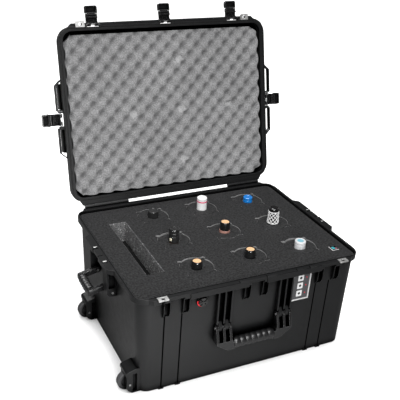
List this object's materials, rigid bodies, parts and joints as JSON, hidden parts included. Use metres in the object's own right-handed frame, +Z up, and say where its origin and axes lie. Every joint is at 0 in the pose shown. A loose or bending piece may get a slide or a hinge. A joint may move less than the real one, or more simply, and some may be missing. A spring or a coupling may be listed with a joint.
{
  "type": "wheeled transport case",
  "caption": "Rigid wheeled transport case with a hinged lid, swing latches, folding handles, pull-out trolley handle and a foam insert holding capped bottles.",
  "frame": {"origin": "centre of the base's footprint on the floor", "axes": "+X along the long side to the right end, +Y from the front to the hinge side, +Z up"},
  "size_m": [0.7998, 0.7284, 0.8666],
  "materials": {
    "case_plastic": "fine-grained moulded polypropylene",
    "foam_black": "closed-cell foam, fine grain",
    "foam_grey": "open-cell convoluted foam",
    "valve_plastic": "moulded",
    "valve_ring": "smooth",
    "label_frame": "satin",
    "label_card": "printed card",
    "steel_plate": "stamped and tumbled",
    "pin_steel": "turned",
    "tube_aluminium": "satin",
    "handle_plastic": "moulded nylon",
    "grip_rubber": "overmoulded, ribbed",
    "button_plastic": "moulded",
    "latch_plastic": "moulded, satin sheen",
    "gasket_rubber": "smooth",
    "wheel_rubber": "polyurethane tread",
    "bottle_glass": "dark bottle glass",
    "cap_black": "satin",
    "cap_white": "satin, with one coloured ring",
    "cap_blue": "metallic blue",
    "cap_gold": "black with a pale gold top disc",
    "cap_lattice": "white sleeve with a black diamond lattice, black top",
    "cap_silver": "silver with a pale blue top disc",
    "indicator_blue": "small domed gem"
  },
  "bodies": {
    "case_base": {"base_shell": "case_plastic", "base_foam": "foam_black", "base_foam_end": "foam_black", "pressure_valve": "valve_plastic", "label_frame": "label_frame", "label_card": "label_card", "base_padlock_plates": "steel_plate", "hinge_pins": "pin_steel", "handle_pins_and_axles": "pin_steel", "trolley_outer_tubes": "tube_aluminium"},
    "lid": {"lid_shell": "case_plastic", "lid_foam": "foam_grey", "lid_gasket": "gasket_rubber", "lid_padlock_plates": "steel_plate", "latch_pins": "pin_steel"},
    "left_handle": {"left_handle": "handle_plastic"},
    "right_handle": {"right_handle": "handle_plastic"},
    "front_handle": {"front_handle": "handle_plastic"},
    "front_wheel": {"front_wheel": "wheel_rubber"},
    "rear_wheel": {"rear_wheel": "wheel_rubber"},
    "trolley": {"trolley_inner_tubes": "tube_aluminium", "trolley_grip": "handle_plastic"},
    "trolley_button": {"trolley_button": "button_plastic"},
    "latch_front_left": {"latch_front_left_body": "latch_plastic"},
    "lever_front_left": {"latch_front_left_lever": "latch_plastic"},
    "latch_front_middle": {"latch_front_middle_body": "latch_plastic"},
    "lever_front_middle": {"latch_front_middle_lever": "latch_plastic"},
    "latch_front_right": {"latch_front_right_body": "latch_plastic"},
    "lever_front_right": {"latch_front_right_lever": "latch_plastic"},
    "latch_left": {"latch_left_body": "latch_plastic"},
    "lever_left": {"latch_left_lever": "latch_plastic"},
    "latch_right": {"latch_right_body": "latch_plastic"},
    "lever_right": {"latch_right_lever": "latch_plastic"},
    "bottle_1": {"bottle_1_glass": "bottle_glass", "bottle_1_cap": "cap_black", "bottle_1_collar": "foam_black"},
    "bottle_2": {"bottle_2_glass": "bottle_glass", "bottle_2_cap": "cap_white", "bottle_2_collar": "foam_black"},
    "bottle_3": {"bottle_3_glass": "bottle_glass", "bottle_3_cap": "cap_blue", "bottle_3_collar": "foam_black"},
    "bottle_4": {"bottle_4_glass": "bottle_glass", "bottle_4_cap": "cap_black", "bottle_4_collar": "foam_black"},
    "bottle_5": {"bottle_5_glass": "bottle_glass", "bottle_5_cap": "cap_gold", "bottle_5_collar": "foam_black"},
    "bottle_6": {"bottle_6_glass": "bottle_glass", "bottle_6_cap": "cap_lattice", "bottle_6_collar": "foam_black"},
    "bottle_7": {"bottle_7_glass": "bottle_glass", "bottle_7_cap": "cap_gold", "bottle_7_collar": "foam_black"},
    "bottle_8": {"bottle_8_glass": "bottle_glass", "bottle_8_cap": "cap_gold", "bottle_8_collar": "foam_black"},
    "bottle_9": {"bottle_9_glass": "bottle_glass", "bottle_9_cap": "cap_silver", "bottle_9_collar": "foam_black"}
  },
  "joints": [
    {"name": "lid_hinge", "type": "hinge", "parent": "case_base", "child": "lid", "pos_m": [0, 0.2728, 0.2989], "axis": [-1, 0, 0], "range_deg": [-103.34, 1.6]},
    {"name": "latch_front_left_hinge", "type": "hinge", "parent": "lid", "child": "latch_front_left", "pos_m": [-0.228, 0.40178, 0.8164], "axis": [-1, 0, 0], "range_deg": [-88, 25]},
    {"name": "lever_front_left_hinge", "type": "hinge", "parent": "latch_front_left", "child": "lever_front_left", "pos_m": [-0.228, 0.41631, 0.84052], "axis": [-1, 0, 0], "range_deg": [0, 50]},
    {"name": "latch_front_middle_hinge", "type": "hinge", "parent": "lid", "child": "latch_front_middle", "pos_m": [0, 0.40178, 0.8164], "axis": [-1, 0, 0], "range_deg": [-88, 25]},
    {"name": "lever_front_middle_hinge", "type": "hinge", "parent": "latch_front_middle", "child": "lever_front_middle", "pos_m": [0, 0.41631, 0.84052], "axis": [-1, 0, 0], "range_deg": [0, 50]},
    {"name": "latch_front_right_hinge", "type": "hinge", "parent": "lid", "child": "latch_front_right", "pos_m": [0.226, 0.40178, 0.8164], "axis": [-1, 0, 0], "range_deg": [-88, 25]},
    {"name": "lever_front_right_hinge", "type": "hinge", "parent": "latch_front_right", "child": "lever_front_right", "pos_m": [0.226, 0.41631, 0.84052], "axis": [-1, 0, 0], "range_deg": [0, 50]},
    {"name": "latch_left_hinge", "type": "hinge", "parent": "lid", "child": "latch_left", "pos_m": [-0.3465, 0.34053, 0.55807], "axis": [0, -0.2307, -0.973], "range_deg": [-88, 25]},
    {"name": "lever_left_hinge", "type": "hinge", "parent": "latch_left", "child": "lever_left", "pos_m": [-0.37332, 0.34886, 0.55609], "axis": [0, -0.2307, -0.973], "range_deg": [0, 50]},
    {"name": "latch_right_hinge", "type": "hinge", "parent": "lid", "child": "latch_right", "pos_m": [0.3465, 0.34053, 0.55807], "axis": [0, 0.2307, 0.973], "range_deg": [-88, 25]},
    {"name": "lever_right_hinge", "type": "hinge", "parent": "latch_right", "child": "lever_right", "pos_m": [0.37332, 0.34886, 0.55609], "axis": [0, 0.2307, 0.973], "range_deg": [0, 50]},
    {"name": "left_handle_hinge", "type": "hinge", "parent": "case_base", "child": "left_handle", "pos_m": [-0.3335, 0, 0.216], "axis": [0, 1, 0], "range_deg": [-69, 15]},
    {"name": "right_handle_hinge", "type": "hinge", "parent": "case_base", "child": "right_handle", "pos_m": [0.3335, 0, 0.216], "axis": [0, -1, 0], "range_deg": [0, 84]},
    {"name": "front_handle_hinge", "type": "hinge", "parent": "case_base", "child": "front_handle", "pos_m": [0, -0.26, 0.165], "axis": [-1, 0, 0], "range_deg": [0, 95]},
    {"name": "front_wheel_spin", "type": "hinge", "parent": "case_base", "child": "front_wheel", "pos_m": [-0.339, -0.208, 0.0275], "axis": [0, 1, 0], "continuous": true},
    {"name": "rear_wheel_spin", "type": "hinge", "parent": "case_base", "child": "rear_wheel", "pos_m": [-0.339, 0.139, 0.0275], "axis": [0, 1, 0], "continuous": true},
    {"name": "trolley_slide", "type": "slide", "parent": "case_base", "child": "trolley", "axis": [1, 0, 0], "range_m": [0, 0.4]},
    {"name": "trolley_button_press", "type": "slide", "parent": "trolley", "child": "trolley_button", "axis": [-1, 0, 0], "range_m": [0, 0.003]},
    {"name": "bottle_1_lift", "type": "slide", "parent": "case_base", "child": "bottle_1", "axis": [0, 0, 1], "range_m": [0, 0.26]},
    {"name": "bottle_2_lift", "type": "slide", "parent": "case_base", "child": "bottle_2", "axis": [0, 0, 1], "range_m": [0, 0.26]},
    {"name": "bottle_3_lift", "type": "slide", "parent": "case_base", "child": "bottle_3", "axis": [0, 0, 1], "range_m": [0, 0.26]},
    {"name": "bottle_4_lift", "type": "slide", "parent": "case_base", "child": "bottle_4", "axis": [0, 0, 1], "range_m": [0, 0.26]},
    {"name": "bottle_5_lift", "type": "slide", "parent": "case_base", "child": "bottle_5", "axis": [0, 0, 1], "range_m": [0, 0.26]},
    {"name": "bottle_6_lift", "type": "slide", "parent": "case_base", "child": "bottle_6", "axis": [0, 0, 1], "range_m": [0, 0.26]},
    {"name": "bottle_7_lift", "type": "slide", "parent": "case_base", "child": "bottle_7", "axis": [0, 0, 1], "range_m": [0, 0.26]},
    {"name": "bottle_8_lift", "type": "slide", "parent": "case_base", "child": "bottle_8", "axis": [0, 0, 1], "range_m": [0, 0.26]},
    {"name": "bottle_9_lift", "type": "slide", "parent": "case_base", "child": "bottle_9", "axis": [0, 0, 1], "range_m": [0, 0.26]}
  ]
}
